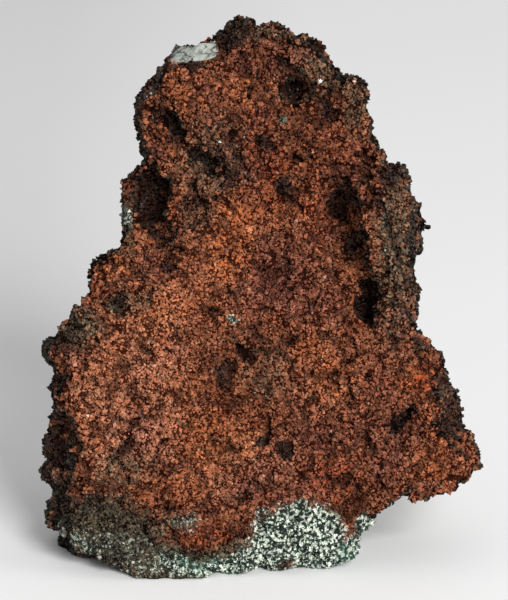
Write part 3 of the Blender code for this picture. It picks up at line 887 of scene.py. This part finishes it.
# Colours from dark to light, each after its place on the ramp
CRUST_COLOURS = [
    (0.00, (0.045, 0.008, 0.002)),
    (0.25, (0.200, 0.050, 0.017)),
    (0.60, (0.460, 0.158, 0.072)),
    (0.85, (0.620, 0.278, 0.156)),
    (1.00, (0.790, 0.440, 0.300)),
]
WARM_COLOURS = [
    (0.00, (0.080, 0.014, 0.002)),
    (0.25, (0.300, 0.064, 0.014)),
    (0.60, (0.560, 0.170, 0.056)),
    (0.85, (0.700, 0.284, 0.125)),
    (1.00, (0.830, 0.430, 0.260)),
]
PURPLE_COLOURS = [
    (0.00, (0.035, 0.007, 0.003)),
    (0.25, (0.180, 0.046, 0.024)),
    (0.60, (0.420, 0.149, 0.090)),
    (0.85, (0.610, 0.286, 0.195)),
    (1.00, (0.780, 0.460, 0.345)),
]
OLIVE_COLOURS = [
    (0.00, (0.014, 0.011, 0.007)),
    (0.35, (0.080, 0.060, 0.034)),
    (0.75, (0.230, 0.172, 0.100)),
    (1.00, (0.460, 0.380, 0.270)),
]
PALE_COLOURS = [
    (0.00, (0.010, 0.013, 0.010)),
    (0.30, (0.030, 0.050, 0.038)),
    (0.40, (0.260, 0.350, 0.280)),
    (0.52, (0.700, 0.770, 0.640)),
    (1.00, (0.970, 0.980, 0.900)),
]
SLAB_COLOURS = [
    (0.00, (0.016, 0.018, 0.015)),
    (0.50, (0.260, 0.285, 0.260)),
    (1.00, (0.460, 0.490, 0.450)),
]
GREEN_COLOURS = [
    (0.00, (0.012, 0.040, 0.028)),
    (0.50, (0.080, 0.240, 0.170)),
    (1.00, (0.420, 0.660, 0.560)),
]
RED_TINT = (1.10, 0.62, 0.46, 1.0)
# Nearly black serves dark rock and painted shade, the deep red is painted shade on crust, the gap
# tint is painted shade between crystals, and the floor shade is a painted shadow
NEARLY_BLACK = (0.012, 0.009, 0.007, 1.0)
PAINTED_SHADE_RED = (0.030, 0.007, 0.002, 1.0)
GAP_PAINTED_SHADE = (0.09, 0.045, 0.025, 1.0)
FLOOR_SHADE = (0.84, 0.84, 0.84, 1.0)

# Nearly all values of a noise texture lie between these
NOISE_RANGE = (0.3, 0.7)

# How light the crust is on its ramps, and what its lumps, its noise and its bright parts add
SPOT_LIGHTNESS = (0.25, 0.52)
TONE_LIGHTNESS = (-0.07, 0.07)
NOISE_SIZE = 1.2
NOISE_LIGHTNESS = (-0.05, 0.06)
BRIGHT_LIGHTNESS = 0.22

# The hues from which crystals are more and more pinkish or brownish, and how much at most
PINKISH_FROM = 0.35
BROWNISH_FROM = 0.65
MOST_OWN_HUE = 0.5

# How much of a colour is lost where the stone is painted nearly black, and to painted shade in low
# ground on crust and rock
DARKEST = 0.93
LOW_SHADE = (0.84, 0.35)

# Speckles of the pale rock: their size, where they begin and are brightest, and what makes them
SPECKLE_SIZE = 0.55
SPECKLE_EDGE = (0.43, 0.69)
SPECKLES_BY_NOISE = 0.75
SPECKLES_BY_SPOT = 0.30

# The slab: where it begins and is full, and how far apart and wide its thin cracks are
SLAB_EDGE = (0.40, 0.60)
CRACK_SIZE = 1.6
CRACK_WIDTH = 0.05

# How rough and how shiny the dull crystals, the glossy ones and the ground are
DUSTY_ROUGHNESS = (0.45, 0.90)
DUSTY_SPECULAR = 0.26
GLOSSY_ROUGHNESS = (0.32, 0.55)
GLOSSY_IOR = 1.65
GROUND_ROUGHNESS = (0.60, 0.95)
GROUND_SPECULAR = 0.05

# The ground's fine grain: its size and height in millimetres, and its strength
GRAIN_SIZE = 0.35
GRAIN_HEIGHT = 0.2
GRAIN_STRENGTH = 0.6


def lightness(graph, spot):
    """How light the crust is, as a place on its ramps."""
    value = graph.ranged(spot, 0.0, 1.0, *SPOT_LIGHTNESS)
    for more in (
        graph.ranged(graph.attribute("tone"), 0.0, 1.0, *TONE_LIGHTNESS),
        graph.ranged(graph.noise(NOISE_SIZE), *NOISE_RANGE, *NOISE_LIGHTNESS),
        # The bright patches, and painted light on the back
        graph.ranged(graph.attribute("bright"), 0.0, 1.0, 0.0, BRIGHT_LIGHTNESS),
    ):
        value = graph.math("ADD", value, more)
    return value


def crust_colour(graph, spot):
    """The colour of the crust alone, with dark rock and painted shade in the dark patches and
    painted light on the back.
    """
    value = lightness(graph, spot)
    pinkish = graph.ranged(graph.attribute("hue"), PINKISH_FROM, 0.0, 0.0, MOST_OWN_HUE)
    brownish = graph.ranged(graph.attribute("hue"), BROWNISH_FROM, 1.0, 0.0, MOST_OWN_HUE)
    colour = graph.ramp(value, CRUST_COLOURS)
    purple = graph.math("MAXIMUM", graph.attribute("purple"), pinkish)
    colour = graph.mix(purple, colour, graph.ramp(value, PURPLE_COLOURS))
    colour = graph.mix(graph.attribute("warm"), colour, graph.ramp(value, WARM_COLOURS))
    colour = graph.mix(graph.attribute("red"), colour, RED_TINT, "MULTIPLY")
    olive = graph.math("MAXIMUM", graph.attribute("olive"), brownish)
    colour = graph.mix(olive, colour, graph.ramp(value, OLIVE_COLOURS))
    # Dark rock and painted shade of the dark patches and the sides
    dark = graph.math("MULTIPLY", graph.attribute("dark"), DARKEST)
    return graph.mix(dark, colour, NEARLY_BLACK)


def slab_colour(graph):
    """The colour of the bare slab, with thin dark cracks."""
    from_middle = graph.math("SUBTRACT", graph.noise(CRACK_SIZE, 2.0), 0.5)
    cracks = graph.math("ABSOLUTE", from_middle, 0.0)
    cracks = graph.ranged(cracks, 0.0, CRACK_WIDTH, 0.0, 0.7)
    clouds = graph.ranged(graph.noise(0.6), *NOISE_RANGE, -0.15, 0.3)
    return graph.ramp(graph.math("ADD", cracks, clouds), SLAB_COLOURS)


def on_slab(graph):
    """1 on the slab, 0 off it."""
    return graph.ranged(graph.attribute("slab"), *SLAB_EDGE, 0.0, 1.0)


def stone_colours(graph, spot):
    """The colour of crust and rock, from a value for lighter and darker spots, with painted shade in
    low ground.
    """
    colour = crust_colour(graph, spot)
    by_noise = graph.ranged(graph.noise(SPECKLE_SIZE), *SPECKLE_EDGE, 0.0, SPECKLES_BY_NOISE)
    speckles = graph.math("ADD", graph.math("MULTIPLY", spot, SPECKLES_BY_SPOT), by_noise)
    colour = graph.mix(graph.attribute("pale"), colour, graph.ramp(speckles, PALE_COLOURS))
    colour = graph.mix(graph.attribute("green"), colour, graph.ramp(speckles, GREEN_COLOURS))
    colour = graph.mix(on_slab(graph), colour, slab_colour(graph))
    # Painted shade, with some darker mineral, in low ground: deep red on crust, nearly black on rock
    shaded = graph.ranged(graph.attribute("pale"), 0.0, 1.0, *LOW_SHADE)
    low = graph.math("MULTIPLY", graph.attribute("low"), shaded)
    rocky = graph.math("MAXIMUM", graph.attribute("pale"), graph.attribute("olive"))
    return graph.mix(low, colour, graph.mix(rocky, PAINTED_SHADE_RED, NEARLY_BLACK))


def crystal_graph(name, roughness_range):
    """What the two kinds of crystals have in common."""
    graph = Graph(name)
    colour = stone_colours(graph, graph.attribute("grain"))
    graph.join(colour, graph.shader.inputs["Base Color"])
    roughness = graph.ranged(graph.attribute("gloss"), 0.0, 1.0, *roughness_range)
    graph.join(roughness, graph.shader.inputs["Roughness"])
    return graph


def dusty_material():
    """Most of the crystals, which are dull."""
    graph = crystal_graph("dusty_crystals", DUSTY_ROUGHNESS)
    graph.shader.inputs["Specular IOR Level"].default_value = DUSTY_SPECULAR
    return graph.material


def glossy_material():
    """The few clean crystals, which glint."""
    graph = crystal_graph("glossy_crystals", GLOSSY_ROUGHNESS)
    graph.shader.inputs["IOR"].default_value = GLOSSY_IOR
    return graph.material


def ground_material():
    """The stone between the crystals, with painted shade that makes it darker than they are, and the
    bare slab.
    """
    graph = Graph("ground")
    spot = graph.ranged(graph.noise(0.5, 2.0), 0.35, 0.65, 0.0, 1.0)
    colour = stone_colours(graph, spot)
    # Painted shade between the crystals darkens the ground, less on pale rock and not at all on the
    # slab
    half_bare = graph.math("MULTIPLY", graph.attribute("pale"), 0.6)
    crusted = graph.math("SUBTRACT", 1.0, graph.math("MAXIMUM", on_slab(graph), half_bare))
    colour = graph.mix(crusted, colour, GAP_PAINTED_SHADE, "MULTIPLY")
    graph.join(colour, graph.shader.inputs["Base Color"])
    roughness = graph.ranged(graph.noise(0.8), *NOISE_RANGE, *GROUND_ROUGHNESS)
    graph.join(roughness, graph.shader.inputs["Roughness"])
    graph.shader.inputs["Specular IOR Level"].default_value = GROUND_SPECULAR
    bump = graph.nodes.new("ShaderNodeBump")
    bump.inputs["Strength"].default_value = GRAIN_STRENGTH
    bump.inputs["Distance"].default_value = GRAIN_HEIGHT * MM
    graph.join(graph.noise(GRAIN_SIZE, 4.0), bump.inputs["Height"])
    graph.join(bump.outputs["Normal"], graph.shader.inputs["Normal"])
    return graph.material


def floor_material():
    """A pale floor that darkens a little towards the left behind the stone, as in the photo."""
    graph = Graph("pale_floor")
    colour = graph.ramp(graph.noise(60.0), [(0.0, (0.93, 0.93, 0.93)), (1.0, (0.95, 0.95, 0.95))])
    split = graph.nodes.new("ShaderNodeSeparateXYZ")
    graph.join(graph.place(), split.inputs[0])
    leftward = graph.ranged(split.outputs["X"], 10.0 * MM, -40.0 * MM, 0.0, 1.0)
    behind = graph.ranged(split.outputs["Y"], 20.0 * MM, 120.0 * MM, 0.0, 1.0)
    # Painted shadow: the floor is darkened towards the left behind the stone, where the light falls
    # off
    shade = graph.math("MULTIPLY", leftward, behind)
    colour = graph.mix(shade, colour, FLOOR_SHADE, "MULTIPLY")
    graph.join(colour, graph.shader.inputs["Base Color"])
    graph.shader.inputs["Roughness"].default_value = 0.7
    return graph.material


# The floor, the light and the camera

FLOOR_WIDTH = 10.0
FLOOR_GAP = 0.00002
IMAGE_HEIGHT_MM = 84.0
IMAGE_MIDDLE = (-1.05, 39.4, -2.0)
LENS_MM = 300.0
SENSOR_MM = 36.0
WORLD_STRENGTH = 0.45


class Lamp(NamedTuple):
    """A square lamp: where it stands round the stone, how far off, how wide and how strong."""

    name: str
    azimuth_deg: float
    elevation_deg: float
    distance: float
    width: float
    watts: float


LAMPS = [
    Lamp("key", 22.0, 25.5, 1.60, 0.60, 28.8),
    Lamp("fill", 75.0, 22.0, 1.00, 0.50, 1.8),
]


def add_floor():
    mesh = bpy.data.meshes.new("floor")
    half = FLOOR_WIDTH / 2
    corners = [(-half, -half, -FLOOR_GAP), (half, -half, -FLOOR_GAP),
               (half, half, -FLOOR_GAP), (-half, half, -FLOOR_GAP)]
    mesh.from_pydata(corners, [], [(0, 1, 2, 3)])
    floor = link("floor", mesh)
    mesh.materials.append(floor_material())


def add_lamp(lamp, target):
    azimuth = math.radians(lamp.azimuth_deg)
    elevation = math.radians(lamp.elevation_deg)
    outward = Vector((
        math.sin(azimuth) * math.cos(elevation),
        -math.cos(azimuth) * math.cos(elevation),
        math.sin(elevation),
    ))
    data = bpy.data.lights.new(lamp.name, "AREA")
    data.size = lamp.width
    data.energy = lamp.watts
    obj = bpy.data.objects.new(lamp.name, data)
    bpy.context.scene.collection.objects.link(obj)
    obj.location = target + outward * lamp.distance
    obj.rotation_euler = (-outward).to_track_quat("-Z", "Y").to_euler()
    obj.visible_camera = False


def add_world():
    world = bpy.data.worlds.new("studio")
    world.use_nodes = True
    background = world.node_tree.nodes["Background"]
    background.inputs["Color"].default_value = (1.0, 1.0, 1.0, 1.0)
    background.inputs["Strength"].default_value = WORLD_STRENGTH
    bpy.context.scene.world = world


def add_camera():
    """Looks square on to the face, from so far that the picture shows IMAGE_HEIGHT_MM there."""
    target = FACE_TO_WORLD @ Vector(IMAGE_MIDDLE)
    outward = (FACE_TO_WORLD.to_3x3() @ Vector((0.0, 0.0, 1.0))).normalized()
    distance = IMAGE_HEIGHT_MM * MM * LENS_MM / SENSOR_MM
    data = bpy.data.cameras.new("camera")
    data.lens = LENS_MM
    data.sensor_width = SENSOR_MM
    camera = bpy.data.objects.new("camera", data)
    bpy.context.scene.collection.objects.link(camera)
    camera.location = target + outward * distance
    camera.rotation_euler = (-outward).to_track_quat("-Z", "Y").to_euler()
    bpy.context.scene.camera = camera
    return target


# Putting it together

def dress(piece, material):
    piece.data.transform(FACE_TO_WORLD)
    piece.data.materials.clear()
    piece.data.materials.append(material)
    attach(piece, "root")
    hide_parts(NODE)


def build_scene():
    # Without a seed, noise vectors would differ from run to run
    noise.seed_set(SEED)
    random = np.random.default_rng(SEED)
    body = make_body()
    rest, made_of = roughen_body(body)
    dull_pieces, glossy_pieces = grow_crystals(body, rest, made_of, random)
    write_attributes(body.data, made_of)
    body.data.shade_smooth()
    dress(body, ground_material())
    dusty = dusty_material()
    for piece in dull_pieces:
        dress(piece, dusty)
    glossy = glossy_material()
    for piece in glossy_pieces:
        dress(piece, glossy)
    add_floor()
    add_world()
    target = add_camera()
    for lamp in LAMPS:
        add_lamp(lamp, target)
    bpy.context.scene.view_settings.view_transform = "Standard"


build_scene()
